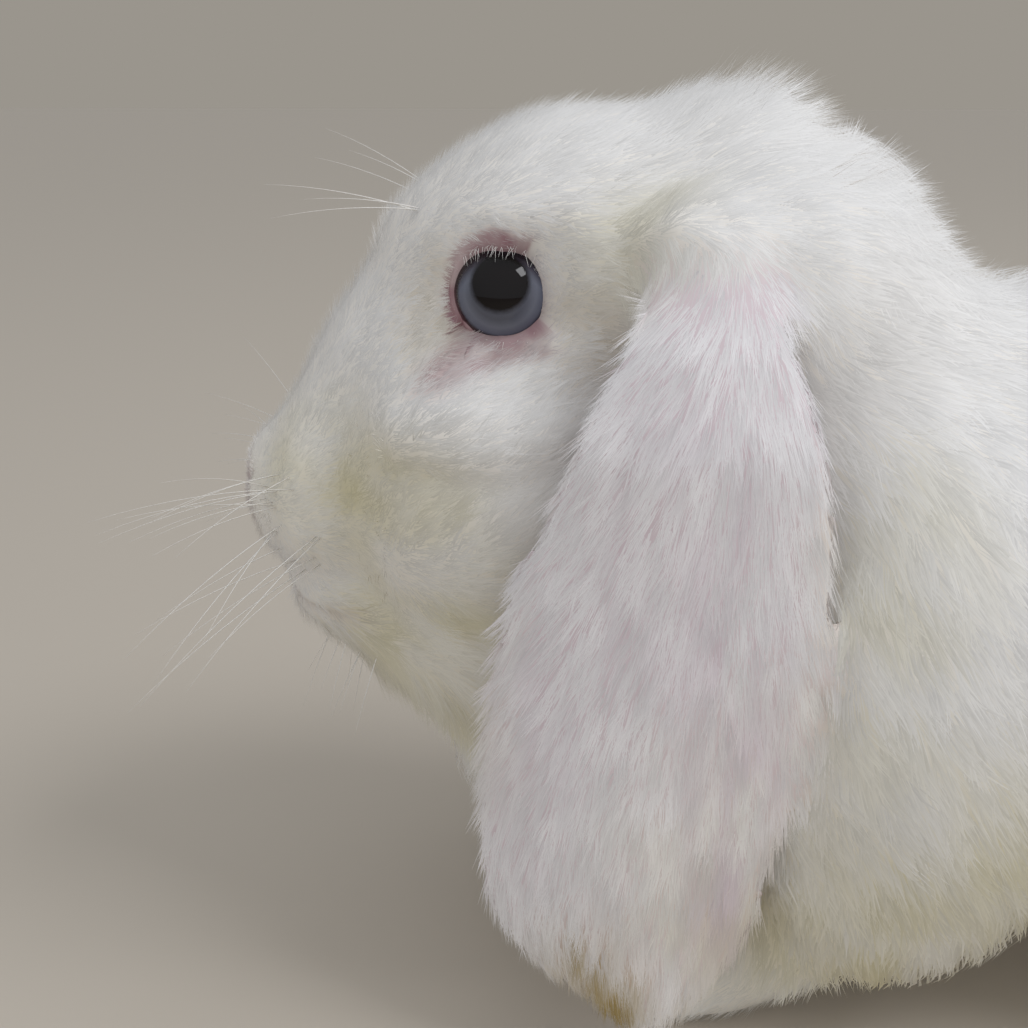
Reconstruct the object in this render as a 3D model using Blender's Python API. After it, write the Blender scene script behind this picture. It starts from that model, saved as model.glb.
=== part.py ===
"""A white lop rabbit at rest, life size, as a museum model.

It crouches on its four feet with the head lowered and both ears hanging.
It faces -Y, its left side is at +X, +Z is up and the floor is z = 0.  The
surfaces are the outline of the coat, out to the tips of the hair.  The body is
blended from named masses, then parted into its regions by thin cuts.
"""

import math

import bmesh
import bpy
from mathutils import Matrix, Vector

MM = 0.001

# ---- driving sizes, in millimetres -------------------------------------------
CUT = 0.3  # width of the thin cuts between neighbouring parts
BLEND_VOXEL = 2.2  # cell size that the masses are blended at
SOFT_SMOOTHING = 60
FIRM_SMOOTHING = 8
BODY_TRIANGLES = 2800  # facets of the blended body before it is parted
ORIGIN_Y = 118.0  # the middle of the length, behind the eyes

EYE_RADIUS = 9.0
EYE_CENTRE = (17.6, 1.3, 132.6)  # left eye; the right one is its mirror
EYE_GAZE = (0.97, -0.14, 0.17)
LID_OPENING = (6.0, 10.4, 8.0)  # half sizes of the opening between the lids
SOCKET_ROOM = 1.12  # the socket's radius over the globe's

EAR_THICKNESS = 8.0  # with the coat, along the middle of the ear
EAR_EDGE = 3.0  # with the coat, at its margins
EAR_HALF_WIDTH = 28.2
EAR_ROOT_HALF_WIDTH = 10.8
EAR_ROOT_HEIGHT = 141.0
EAR_TIP_HEIGHT = 12.0
EAR_BURIED = 0.14  # share of the hanging length that is set into the crown
EAR_CUP = 9.0  # how far the front margin curls in towards the cheek

CLAW_LENGTH = 9.0
CLAW_RADIUS = 1.3
TOE_SPACING = 5.4
TOES = 4  # on each foot; the small fifth toe of a forefoot stays in the hair

# ---- the masses of the body: centre, half sizes, pitch in degrees -----------
# x is to the left side, y to the rear; a positive pitch tips the top rearwards.
# Each paired mass is given for the left side.
# The soft masses blend deeply into each other; the firm ones keep their form.
SOFT_MIDDLE = {
    "neck": ((0, 50, 119), (40, 36, 40), 0),
    "withers": ((0, 90, 96), (46, 44, 37), 0),
    "chest": ((0, 74, 70), (51, 54, 54), 0),
    "ribs": ((0, 130, 78), (58, 74, 63), 0),
    "loin": ((0, 184, 83), (62, 70, 68), 0),
    "rump": ((0, 222, 67), (58, 48, 58), 0),
    "dewlap": ((0, 18, 56), (36, 32, 36), 0),
}
SOFT_PAIRED = {
    "shoulder": ((36, 76, 68), (23, 35, 50), 12),
    "upper_arm": ((32, 66, 42), (20, 26, 31), -10),
    "haunch": ((48, 196, 62), (34, 56, 54), 10),
    "knee": ((57, 156, 42), (23, 30, 30), 0),
}
FIRM_MIDDLE = {
    "cranium": ((0, 14, 134), (32, 33, 29), 0),
    "crown_tuft": ((0, 36, 147), (27, 23, 20), 0),
    "forehead": ((0, -4, 132), (23, 21, 24), 30),
    "nose_bridge": ((0, -19, 117), (18, 17, 30), 32),
    "muzzle": ((0, -27, 98), (20, 19, 23), 25),
    "nose_tip": ((0, -40, 95), (6, 7, 8), 0),
    "chin": ((0, -25, 77), (15, 15, 14), 0),
    "throat": ((0, 2, 75), (32, 31, 31), 0),
}
FIRM_PAIRED = {
    "brow": ((17, 4, 143), (10, 15, 9), 0),
    "cheekbone": ((17, -9, 112), (16, 17, 17), 20),
    "cheek": ((18, 2, 96), (19, 26, 28), 20),
    "whisker_pad": ((9, -32, 95), (11, 12, 16), 15),
    "nape_side": ((22, 44, 132), (20, 24, 24), 0),
    "forearm": ((25, 54, 24), (14, 17, 22), 35),
    "paw": ((23, 37, 7), (11, 18, 9), 0),
    "hock": ((50, 210, 18), (16, 22, 20), 0),
    "hindfoot": ((53, 172, 8), (14, 42, 10), 0),
}
FOREPAW_TIP = (23.0, 22.5, 5.5)  # middle of the row of front toes
HINDFOOT_TIP = (54.0, 131.0, 5.5)
TOE_RADII = (3.6, 7.5, 5.2)
TAIL = ((0, 266, 50), (17, 15, 27), 18)

# ---- the regions that the body is parted into: centre, half sizes, pitch ------
LIMB_CELLS = (
    ("forepaw", (23, 40, 4), (17, 25, 17), 0),
    ("foreleg", (33, 70, 32), (30, 47, 36), 0),
    ("hindfoot", (52, 178, 2), (22, 68, 25), 0),
    ("thigh", (68, 190, 58), (38, 66, 64), 8),
)
MIDDLE_CELLS = (
    ("head", (0, -4, 118), (68, 70, 66), 0),
    ("neck", (0, 26, 94), (76, 60, 84), 18),
)

COLOURS = {
    "coat": ((0.80, 0.79, 0.77), 0.85),
    "ear": ((0.76, 0.71, 0.73), 0.80),
    "eye": ((0.11, 0.13, 0.19), 0.08),
    "claw": ((0.52, 0.43, 0.38), 0.45),
}


def clear_scene():
    for obj in list(bpy.data.objects):
        bpy.data.objects.remove(obj)


def material_for(name, kind):
    colour, roughness = COLOURS[kind]
    material = bpy.data.materials.new(name)
    material.use_nodes = True
    shader = material.node_tree.nodes["Principled BSDF"]
    shader.inputs["Base Color"].default_value = (*colour, 1.0)
    shader.inputs["Roughness"].default_value = roughness
    shader.inputs["Metallic"].default_value = 0.0
    return material


def add_object(name, bm, kind=None):
    """Turns a bmesh in millimetres into an object in metres; a helper has no kind."""
    mesh = bpy.data.meshes.new(name)
    bmesh.ops.recalc_face_normals(bm, faces=bm.faces)
    bm.to_mesh(mesh)
    bm.free()
    if kind:
        mesh.materials.append(material_for(name, kind))
    obj = bpy.data.objects.new(name, mesh)
    bpy.context.scene.collection.objects.link(obj)
    if not kind:
        obj.hide_render = True
        obj.display_type = "WIRE"
    return obj


def place(centre, radii, pitch=0.0):
    """Matrix that turns a unit ball into an ellipsoid, in metres."""
    turn = Matrix.Rotation(math.radians(-pitch), 4, "X")
    moved = Vector(centre) - Vector((0.0, ORIGIN_Y, 0.0))
    return Matrix.Scale(MM, 4) @ Matrix.Translation(moved) @ turn @ Matrix.Diagonal((*radii, 1.0))


def mirrored(centre, side):
    return (centre[0] * side, centre[1], centre[2])


def add_ball(bm, centre, radii, pitch=0.0, detail=3):
    bmesh.ops.create_icosphere(bm, subdivisions=detail, radius=1.0, matrix=place(centre, radii, pitch))


def ball_cell(name, centre, radii, pitch=0.0, grow=0.0, detail=3):
    bm = bmesh.new()
    add_ball(bm, centre, [r + grow for r in radii], pitch, detail)
    return add_object(name, bm)


def settle(obj):
    """Makes the modified shape the object's own mesh."""
    graph = bpy.context.evaluated_depsgraph_get()
    mesh = bpy.data.meshes.new_from_object(obj.evaluated_get(graph))
    obj.modifiers.clear()
    obj.data = mesh


def boolean(obj, other, operation):
    step = obj.modifiers.new(operation, "BOOLEAN")
    step.operation = operation
    step.object = other
    step.solver = "EXACT"
    settle(obj)


def remove(*objects):
    for obj in objects:
        bpy.data.objects.remove(obj)


def copy_of(obj, name):
    twin = obj.copy()
    twin.data = obj.data.copy()
    twin.name = name
    bpy.context.scene.collection.objects.link(twin)
    return twin


def paint(obj, kind):
    obj.data.materials.clear()
    obj.data.materials.append(material_for(obj.name, kind))
    obj.hide_render = False
    obj.display_type = "TEXTURED"
    obj.data.shade_smooth()
    obj.data.set_sharp_from_angle(angle=math.radians(50))


def grow_together(obj, smoothing):
    """Blends what the object holds into one closed surface and relaxes it."""
    remesh = obj.modifiers.new("blend", "REMESH")
    remesh.mode = "VOXEL"
    remesh.voxel_size = BLEND_VOXEL * MM
    smooth = obj.modifiers.new("smooth", "SMOOTH")
    smooth.factor = 0.5
    smooth.iterations = smoothing
    settle(obj)


def add_masses(bm, middle, paired):
    for centre, radii, pitch in middle.values():
        add_ball(bm, centre, radii, pitch)
    for side in (1, -1):
        for centre, radii, pitch in paired.values():
            add_ball(bm, mirrored(centre, side), radii, pitch)


def blended_body():
    """All the masses and toes grown together into one smooth closed surface."""
    bm = bmesh.new()
    add_masses(bm, SOFT_MIDDLE, SOFT_PAIRED)
    soft = add_object("soft", bm)
    grow_together(soft, SOFT_SMOOTHING)
    bm = bmesh.new()
    bm.from_mesh(soft.data)
    add_masses(bm, FIRM_MIDDLE, FIRM_PAIRED)
    for side in (1, -1):
        for x, tip in toes():
            add_ball(bm, (side * x, tip[1] + 4.0, tip[2]), TOE_RADII)
    body = add_object("body", bm)
    remove(soft)
    grow_together(body, FIRM_SMOOTHING)
    thin = body.modifiers.new("facets", "DECIMATE")
    thin.use_symmetry = True
    thin.symmetry_axis = "X"
    body.data.calc_loop_triangles()
    thin.ratio = BODY_TRIANGLES / len(body.data.loop_triangles)
    settle(body)
    below = bmesh.new()
    bmesh.ops.create_cube(below, size=1.0, matrix=place((0, ORIGIN_Y, -30), (400, 600, 60)))
    carve(body, add_object("below_floor", below))
    return body


def toes():
    """Places of the four toes in front of a left forefoot and a left hind foot."""
    for tip in (FOREPAW_TIP, HINDFOOT_TIP):
        for n in range(TOES):
            across = (n - (TOES - 1) / 2) * TOE_SPACING
            back = 0.10 * across * across
            yield tip[0] + across, (tip[0], tip[1] + back, tip[2])


def ease(a, b, t):
    """Smooth step from 0 at a to 1 at b."""
    s = min(1.0, max(0.0, (t - a) / (b - a)))
    return s * s * (3 - 2 * s)


def ear_line(t):
    """Middle of the left ear at t: below 0 it is deep in the crown, and 1 is the tip."""
    out = 30.0 + 19.0 * ease(-0.14, 0.20, t) - 2.0 * ease(0.6, 1.0, t)
    back = 32.0 - 11.5 * ease(0.05, 0.85, t) + 4.0 * ease(0.85, 1.0, t)
    up = EAR_ROOT_HEIGHT - (EAR_ROOT_HEIGHT - EAR_TIP_HEIGHT) * t
    if t < 0:
        up = EAR_ROOT_HEIGHT + 7.0 * (1 - (1 + t / EAR_BURIED) ** 2)
    return out, back, up


def ear_half_width(t):
    opening = math.sin(math.pi / 2 * min(1.0, max(0.0, t) / 0.5))
    width = EAR_ROOT_HALF_WIDTH + (EAR_HALF_WIDTH - EAR_ROOT_HALF_WIDTH) * opening
    past = max(0.0, (t - 0.60) / 0.40)
    return width * math.sqrt(max(0.004, 1 - past**2.6))


def ear_solid(name, side, grow=0.0):
    """The hanging ear: a cupped blade, thick along its middle and thin at its margins."""
    rows, ring = 15, 12
    bm = bmesh.new()
    loops = []
    for i in range(rows):
        along = i / (rows - 1)
        t = -EAR_BURIED + (1 + EAR_BURIED) * (1 - (1 - along) ** 1.4)
        out, back, up = ear_line(t)
        half = ear_half_width(t) + grow
        lean = math.radians(70) * (1 - ease(-EAR_BURIED, 0.16, t))
        loop = []
        for k in range(ring):
            angle = 2 * math.pi * k / ring
            v = math.cos(angle)
            bulge = EAR_EDGE + (EAR_THICKNESS - EAR_EDGE) * (1 - v * v)
            thick = 0.5 * bulge * min(1.0, half / 9) * math.sin(angle)
            thick += math.copysign(grow, thick) if abs(thick) > 1e-6 else 0.0
            cup = EAR_CUP * ease(-0.1, 0.4, t) * (0.75 * v * v if v < 0 else 0.18 * v * v)
            x = out + thick * math.cos(lean) - cup
            z = up + thick * math.sin(lean) - (grow if i == rows - 1 else 0.0)
            y = back + half * v
            loop.append(bm.verts.new((side * x * MM, (y - ORIGIN_Y) * MM, z * MM)))
        loops.append(loop)
    bridge(bm, loops)
    bm.faces.new(loops[0])
    bm.faces.new(loops[-1])
    bmesh.ops.triangulate(bm, faces=bm.faces)
    return add_object(name, bm)


def eye_ball(name, side):
    """A globe whose clear front bulges a little towards the gaze."""
    bm = bmesh.new()
    bmesh.ops.create_uvsphere(bm, u_segments=14, v_segments=9, radius=1.0)
    gaze = Vector(mirrored(EYE_GAZE, side)).normalized()
    for vert in bm.verts:
        front = max(0.0, vert.co.dot(gaze))
        vert.co *= EYE_RADIUS * (1 + 0.07 * ease(0.72, 1.0, front))
    bmesh.ops.transform(bm, matrix=place(mirrored(EYE_CENTRE, side), (1, 1, 1)), verts=bm.verts)
    return add_object(name, bm)


def bridge(bm, loops):
    """Walls between rings of vertices that follow one another."""
    for a, b in zip(loops, loops[1:]):
        for k in range(len(a)):
            n = (k + 1) % len(a)
            bm.faces.new((a[k], a[n], b[n], b[k]))


def claw(name, root, length=CLAW_LENGTH, radius=CLAW_RADIUS):
    """A horn that tapers and curves down from inside a toe."""
    rows, ring = 3, 5
    droop = 1.44 * radius
    bm = bmesh.new()
    loops = []
    for i in range(rows):
        t = i / rows
        r = radius * (1 - 0.75 * t)
        middle = Vector((root[0], root[1] - ORIGIN_Y - length * t, root[2] - droop * t * t))
        loop = []
        for k in range(ring):
            angle = 2 * math.pi * (k + 0.5) / ring
            rim = Vector((r * math.cos(angle), 0.0, 1.25 * r * math.sin(angle)))
            loop.append(bm.verts.new((middle + rim) * MM))
        loops.append(loop)
    bridge(bm, loops)
    point = bm.verts.new(Vector((root[0], root[1] - ORIGIN_Y - length, root[2] - droop)) * MM)
    for k in range(ring):
        bm.faces.new((loops[-1][k], loops[-1][(k + 1) % ring], point))
    bm.faces.new(loops[0])
    return add_object(name, bm)


def carve(body, room):
    """Takes the room for a separate piece out of the body."""
    boolean(body, room, "DIFFERENCE")
    remove(room)


def part_off(body, name, centre, radii, pitch):
    """Gives the region inside an ellipsoid a node of its own, a thin cut away from the rest."""
    cell = ball_cell("cell", centre, radii, pitch, detail=2)
    piece = copy_of(body, name)
    boolean(piece, cell, "INTERSECT")
    paint(piece, "coat")
    carve(body, ball_cell("room", centre, radii, pitch, grow=CUT, detail=2))
    remove(cell)


def set_ear(body, side, word):
    paint(ear_solid("ear_" + word, side), "ear")
    carve(body, ear_solid("room", side, grow=CUT))


def set_eye(body, side, word):
    """The globe in its socket, and the opening between the lids in front of it."""
    paint(eye_ball("eye_" + word, side), "eye")
    centre = Vector(mirrored(EYE_CENTRE, side))
    front = centre + Vector(mirrored(EYE_GAZE, side)).normalized() * (EYE_RADIUS + 1.0)
    carve(body, ball_cell("room", centre, [EYE_RADIUS * SOCKET_ROOM] * 3, grow=CUT, detail=2))
    carve(body, ball_cell("room", front, LID_OPENING, detail=2))


def set_tail(body):
    paint(ball_cell("tail", *TAIL), "coat")
    carve(body, ball_cell("room", *TAIL, grow=2 * CUT))


def set_claws(body, side, word):
    """One claw in each toe, its root buried in the hair."""
    for n, (x, tip) in enumerate(toes()):
        limb = "fore" if n < TOES else "hind"
        root = (side * x, tip[1] + 1.0, tip[2] - 1.0)
        paint(claw(f"claw_{limb}_{word}_{n % TOES + 1}", root), "claw")
        behind = (root[0], root[1] + CUT, root[2])
        carve(body, claw("room", behind, CLAW_LENGTH + 3 * CUT, CLAW_RADIUS + 1.2 * CUT))


clear_scene()
trunk = blended_body()
set_tail(trunk)
for side, word in ((1, "left"), (-1, "right")):
    set_ear(trunk, side, word)
    set_eye(trunk, side, word)
    set_claws(trunk, side, word)
    for region, centre, radii, pitch in LIMB_CELLS:
        part_off(trunk, f"{region}_{word}", mirrored(centre, side), radii, pitch)
for region, centre, radii, pitch in MIDDLE_CELLS:
    part_off(trunk, region, centre, radii, pitch)
trunk.name = "trunk"
paint(trunk, "coat")
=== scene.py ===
# %% [markdown]
# # A white lop rabbit, life size
# A lop is a rabbit whose ears hang beside its cheeks. This one crouches with its head held
# forward. It is built here as a museum modeller would: a skin first, then the coat on it,
# then the eyes, whiskers and claws. The solids it starts from give the size and the pose.

# %% Load the frame
import math

import bmesh
import bpy
import numpy as np
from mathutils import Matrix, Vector
from mathutils.bvhtree import BVHTree
from mathutils.kdtree import KDTree


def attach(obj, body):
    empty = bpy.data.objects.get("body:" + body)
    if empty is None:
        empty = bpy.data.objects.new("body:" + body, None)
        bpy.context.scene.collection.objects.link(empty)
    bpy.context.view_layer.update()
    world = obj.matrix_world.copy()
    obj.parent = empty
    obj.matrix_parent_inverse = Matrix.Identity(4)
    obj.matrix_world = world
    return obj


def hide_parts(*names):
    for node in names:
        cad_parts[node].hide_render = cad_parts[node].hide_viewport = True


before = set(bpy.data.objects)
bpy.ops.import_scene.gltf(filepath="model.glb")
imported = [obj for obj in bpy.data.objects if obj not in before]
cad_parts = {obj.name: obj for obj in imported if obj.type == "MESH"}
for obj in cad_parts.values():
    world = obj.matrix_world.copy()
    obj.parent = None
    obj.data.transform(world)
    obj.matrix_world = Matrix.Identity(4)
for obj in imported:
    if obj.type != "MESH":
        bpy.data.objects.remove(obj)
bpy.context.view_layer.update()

MM = 0.001

# %% [markdown]
# ## Camera
# The camera stands close to the left cheek, a little above the eye, and looks across the
# head. So close a view makes the near eye and ear large. The place is given in millimetres
# in the rabbit's own frame: x to its left, y towards its tail, z up.

# %% Camera
CAMERA_PLACE = Vector((254.5, -107.9, 171.4)) * MM
CAMERA_ROUND, CAMERA_UP = math.radians(92), math.radians(18)
LENS = 50.5

towards_camera = Vector((
    math.sin(CAMERA_ROUND) * math.cos(CAMERA_UP),
    -math.cos(CAMERA_ROUND) * math.cos(CAMERA_UP),
    math.sin(CAMERA_UP),
))
camera_data = bpy.data.cameras.new("camera")
camera_data.lens, camera_data.sensor_width = LENS, 36
camera_data.clip_start, camera_data.clip_end = 0.01, 20
camera = bpy.data.objects.new("camera", camera_data)
camera.location = CAMERA_PLACE
camera.rotation_mode = "QUATERNION"
camera.rotation_quaternion = (-towards_camera).to_track_quat("-Z", "Y")
bpy.context.scene.collection.objects.link(camera)
bpy.context.scene.camera = camera
print("camera at", [round(c, 3) for c in camera.location])

# %% [markdown]
# ## Tools for meshes as arrays
# A coat has hundreds of thousands of tufts, so meshes are handled as arrays of points and
# triangles and turned into objects at the end. Lengths are in millimetres until then.

# %% Meshes to arrays and back
def object_of(name, points, faces):
    """A smooth mesh object from points in millimetres and faces with equal numbers of corners."""
    corners = faces.shape[1]
    mesh = bpy.data.meshes.new(name)
    mesh.vertices.add(len(points))
    mesh.vertices.foreach_set("co", (points * MM).astype(np.float32).ravel())
    mesh.loops.add(faces.size)
    mesh.loops.foreach_set("vertex_index", faces.astype(np.int32).ravel())
    mesh.polygons.add(len(faces))
    starts = np.arange(0, faces.size, corners, dtype=np.int32)
    mesh.polygons.foreach_set("loop_start", starts)
    mesh.polygons.foreach_set("use_smooth", np.ones(len(faces), bool))
    mesh.update(calc_edges=True)
    mesh.validate()
    made = bpy.data.objects.new(name, mesh)
    bpy.context.scene.collection.objects.link(made)
    return made


def arrays_of(mesh):
    """Points in millimetres and triangles of a mesh, with points in one place made one."""
    mesh.calc_loop_triangles()
    points = np.empty(len(mesh.vertices) * 3, np.float32)
    mesh.vertices.foreach_get("co", points)
    faces = np.empty(len(mesh.loop_triangles) * 3, np.int32)
    mesh.loop_triangles.foreach_get("vertices", faces)
    points = points.reshape(-1, 3).astype(float) / MM
    _, first, index = np.unique(
        np.round(points, 3), axis=0, return_index=True, return_inverse=True)
    faces = index.reshape(-1)[faces.reshape(-1, 3)]
    whole = (faces[:, 0] != faces[:, 1]) & (faces[:, 1] != faces[:, 2])
    return points[first], faces[whole & (faces[:, 0] != faces[:, 2])]


def joined(pairs):
    """Several (points, faces) pairs as one."""
    starts = np.cumsum([0] + [len(points) for points, _ in pairs[:-1]])
    return (np.concatenate([points for points, _ in pairs]),
            np.concatenate([faces + start for (_, faces), start in zip(pairs, starts)]))


def unit(vectors):
    """The vectors, each with a length of 1."""
    length = np.linalg.norm(vectors, axis=-1, keepdims=True)
    return vectors / np.maximum(length, 1e-9)


def normals_of(points, faces):
    """The outward direction at each point, as the mean of its triangles."""
    across = np.cross(points[faces[:, 1]] - points[faces[:, 0]],
                      points[faces[:, 2]] - points[faces[:, 0]])
    total = np.zeros_like(points)
    for axis in range(3):
        for corner in range(3):
            total[:, axis] += np.bincount(faces[:, corner], across[:, axis], len(points))
    return unit(total)


def edges_of(faces):
    """Each edge once, as two point numbers."""
    count = faces.shape[1]
    ends = np.concatenate([faces[:, [k, (k + 1) % count]] for k in range(count)])
    return np.unique(np.sort(ends, axis=1), axis=0)


def relaxed(values, edges, weight, rounds):
    """Values at the points, each moved towards the mean of its neighbours, round by round."""
    values = np.array(values, float)
    flat = values.reshape(len(values), -1)
    weight = np.broadcast_to(np.asarray(weight, float), (len(flat),))
    edges = edges[(weight != 0)[edges].any(axis=1)]
    degree = np.maximum(np.bincount(edges.ravel(), minlength=len(flat)), 1)
    for _ in range(rounds):
        for axis in range(flat.shape[1]):
            column = flat[:, axis]
            mean = (np.bincount(edges[:, 0], column[edges[:, 1]], len(flat))
                    + np.bincount(edges[:, 1], column[edges[:, 0]], len(flat))) / degree
            flat[:, axis] = column + weight * (mean - column)
    return flat.reshape(values.shape)


# %% Soft steps and soft zones
def step(low, high, value):
    """0 at low, 1 at high, with soft ends."""
    t = np.clip((value - low) / (high - low), 0, 1)
    return t * t * (3 - 2 * t)


def mirrored(points):
    """The points with those of the right side laid over the left."""
    return np.column_stack((np.abs(points[:, 0]), points[:, 1:]))


def zone(points, centre, radii, edge=0.35):
    """1 inside an ellipsoid on either side of the body, 0 outside, soft across its edge."""
    away = np.linalg.norm((mirrored(points) - centre) / radii, axis=1)
    return step(1 + edge, 1 - edge, away)


# %% [markdown]
# ## Skin
# Under the coat a rabbit has one skin, without seams. The solids are parted by thin cuts, so
# they are grown until they just overlap and run together by a voxel remesh. The flats that
# faceted solids leave are smoothed away, most on the body and least on the face, and the
# skin then sinks by the depth of the coat at each place. The eyes fill their sockets for now.

# %% Run the solids together
EYE_CENTRE, EYE_RADIUS = np.array((17.6, -117.6, 132.6)), 9.0
NOSE_TIP = np.array((0.0, -164.5, 93.0))
JOIN_GROWTH = 0.25
BODY_VOXEL, EAR_VOXEL, SKIN_VOXEL = 1.7, 1.1, 1.45
EAR_NODES = ["ear_left", "ear_right"]
EYE_NODES = ["eye_left", "eye_right"]
CLAW_NODES = sorted(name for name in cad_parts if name.startswith("claw_"))
FLESH_NODES = sorted(set(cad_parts) - set(EYE_NODES) - set(CLAW_NODES))


def voxel_skin(points, faces, voxel):
    """The outer surface of overlapping solids, as an even mesh of quads."""
    scratch = object_of("scratch", points, faces)
    remesh = scratch.modifiers.new("remesh", "REMESH")
    remesh.mode, remesh.voxel_size = "VOXEL", voxel * MM
    view = scratch.evaluated_get(bpy.context.evaluated_depsgraph_get())
    mesh = view.to_mesh()
    made = np.empty(len(mesh.vertices) * 3, np.float32)
    mesh.vertices.foreach_get("co", made)
    quads = np.empty(len(mesh.polygons) * 4, np.int32)
    mesh.loops.foreach_get("vertex_index", quads)
    view.to_mesh_clear()
    bpy.data.objects.remove(scratch)
    return made.reshape(-1, 3).astype(float) / MM, quads.reshape(-1, 4)


def halved(quads):
    """Two triangles from each quad."""
    return np.concatenate([quads[:, [0, 1, 2]], quads[:, [0, 2, 3]]])


def grown(points, faces, distance):
    """A solid with its points moved outwards."""
    return points + normals_of(points, faces) * distance, faces


body_solids = [arrays_of(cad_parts[name].data)
               for name in FLESH_NODES if name not in EAR_NODES]
eye_solids = [arrays_of(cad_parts[name].data) for name in EYE_NODES]
body, body_quads = voxel_skin(
    *joined([grown(*solid, JOIN_GROWTH) for solid in body_solids + eye_solids]), BODY_VOXEL)
print("body skin:", len(body), "points")

# %% Coat lengths over the body
# Each row: where, how large, and the coat there: depth, length and width of a tuft in
# millimetres, tufts to a square millimetre, and how much the body under it is smoothed.
# Hair is longest on the rump and tail and shortest on the nose and the lids, where the
# tufts are also the finest and stand closest.
COAT = {
    "everywhere": (5.0, 14, 0.46, 0.95, 1.0),
    "rump": ((0, 130, 80), (70, 50, 70), (5.6, 15, 0.48, 0.85, 1.0)),
    "belly": ((0, 40, 15), (60, 120, 14), (5, 13, 0.52, 0.7, 1.0)),
    "thigh": ((62, 75, 60), (26, 62, 52), (4.6, 13, 0.46, 1.0, 0.8)),
    "withers": ((0, -20, 130), (60, 44, 60), (4.8, 11.5, 0.36, 1.6, 1.0)),
    "shoulder": ((50, -25, 80), (30, 50, 60), (4.4, 12.5, 0.34, 1.9, 1.0)),
    "neck": ((25, -75, 75), (42, 42, 75), (4.0, 11, 0.32, 2.1, 0.9)),
    "nape": ((0, -52, 160), (26, 26, 22), (6.5, 10, 0.30, 3.2, 0.7)),
    "tail": ((0, 150, 50), (20, 22, 30), (6, 12, 0.44, 1.3, 0.8)),
    "foreleg": ((30, -60, 25), (26, 34, 22), (3.6, 8, 0.45, 1.3, 0.4)),
    "forepaw": ((24, -80, 8), (16, 24, 13), (2.2, 5.0, 0.38, 1.9, 0.12)),
    "hindfoot": ((52, 55, 12), (20, 52, 15), (2.8, 6.0, 0.44, 1.5, 0.12)),
    "fore toes": ((24, -95, 7), (14, 6, 9), (2.4, 6.5, 0.38, 2.6, 0.12)),
    "hind toes": ((52, 14, 8), (18, 9, 10), (3.0, 8.0, 0.42, 2.4, 0.12)),
    "head": ((0, -118, 118), (46, 46, 50), (3.0, 5.6, 0.28, 4.5, 0.35)),
    "cheek": ((24, -138, 100), (16, 12, 26), (3.0, 5.6, 0.28, 4.6, 1.0)),
    "crown": ((0, -84, 166), (24, 20, 12), (4.5, 7.5, 0.30, 3.9, 0.35)),
    "jowl": ((28, -118, 96), (16, 24, 20), (3.6, 6.5, 0.29, 4.4, 0.5)),
    "throat": ((0, -130, 58), (30, 20, 18), (4.6, 9, 0.32, 3.4, 0.3)),
    "ear root": ((38, -82, 142), (15, 18, 12), (2.8, 5.5, 0.29, 5.0, 0.6)),
    "muzzle": ((0, -158, 92), (24, 17, 26), (2.2, 3.6, 0.24, 6.4, 0.12)),
    "nose": ((0, -166, 95), (9, 9, 9), (1.3, 1.8, 0.20, 9.0, 0.08)),
    "eyelids": (EYE_CENTRE, (15, 15, 15), (1.9, 3.2, 0.21, 8.0, 0.12)),
}


def coat_over(points):
    """Depth, length, width, density and smoothing at each point, zone laid over zone."""
    values = np.tile(np.array(COAT["everywhere"], float), (len(points), 1))
    for name, row in COAT.items():
        if name != "everywhere":
            share = zone(points, row[0], row[1])[:, None]
            values = values * (1 - share) + np.array(row[2], float) * share
    return values.T


# %% Smooth the body and sink it under its coat
SMOOTH_ROUNDS = 60
SINK_SHARE = 0.55  # tufts lie over, so the coat is about half as deep as they could stand
body_edges = edges_of(body_quads)
depth, _, _, _, softness = coat_over(body)
body = relaxed(body, body_edges, 0.5 * softness, SMOOTH_ROUNDS)
depth = relaxed(depth, body_edges, 0.5, 10)
inward = relaxed(normals_of(body, halved(body_quads)), body_edges, 0.5, 6)
# Flesh that the solids leave out or have too much of: where, how large, how many mm outwards.
FULLNESS = {
    "chin": ((0, -149, 68), (18, 17, 14), 2.6),
    "nose": ((0, -165, 92), (12, 10, 14), 2.2),
    "forehead": ((0, -126, 152), (24, 30, 16), 1.2),
    "crown": ((0, -84, 166), (28, 24, 12), 0.4),
    "dip behind the neck": ((0, -34, 147), (34, 17, 14), -4.0),
    "cheek ridge": ((29, -121, 111), (9, 16, 6.5), 2.3),
    "front of the eye": ((21, -132, 129), (7, 6, 9), -1.0),
    "cheek hollow": ((25, -139, 98), (12, 8, 18), 1.2),
    "behind the eye": ((27, -97, 134), (9, 8, 13), 1.6),
}
fuller = sum(high * zone(body, centre, radii) for centre, radii, high in FULLNESS.values())
body = body + unit(inward) * (fuller - depth * SINK_SHARE)[:, None]
print("depth of coat: %.1f to %.1f mm" % (depth.min(), depth.max()))

# %% [markdown]
# The ears are thin flaps of cartilage. A small pad of flesh at the root of each ear, where the
# cartilage tube enters the head, ties it to the skull.

# %% Tie the ears to the head
EAR_PAD = ((30.5, -86.5, 141), (11, 13, 10))


def ball(centre, radii):
    """An ellipsoid as points and triangles."""
    made = bmesh.new()
    bmesh.ops.create_icosphere(made, subdivisions=4, radius=1)
    points = np.array([v.co[:] for v in made.verts]) * radii + centre
    faces = np.array([[v.index for v in f.verts] for f in made.faces])
    made.free()
    return points, faces


def even_ear(points, faces):
    """An ear with the facets of its solid smoothed away."""
    points, quads = voxel_skin(points, faces, EAR_VOXEL)
    return relaxed(points, edges_of(quads), 0.5, 12), halved(quads)


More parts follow.
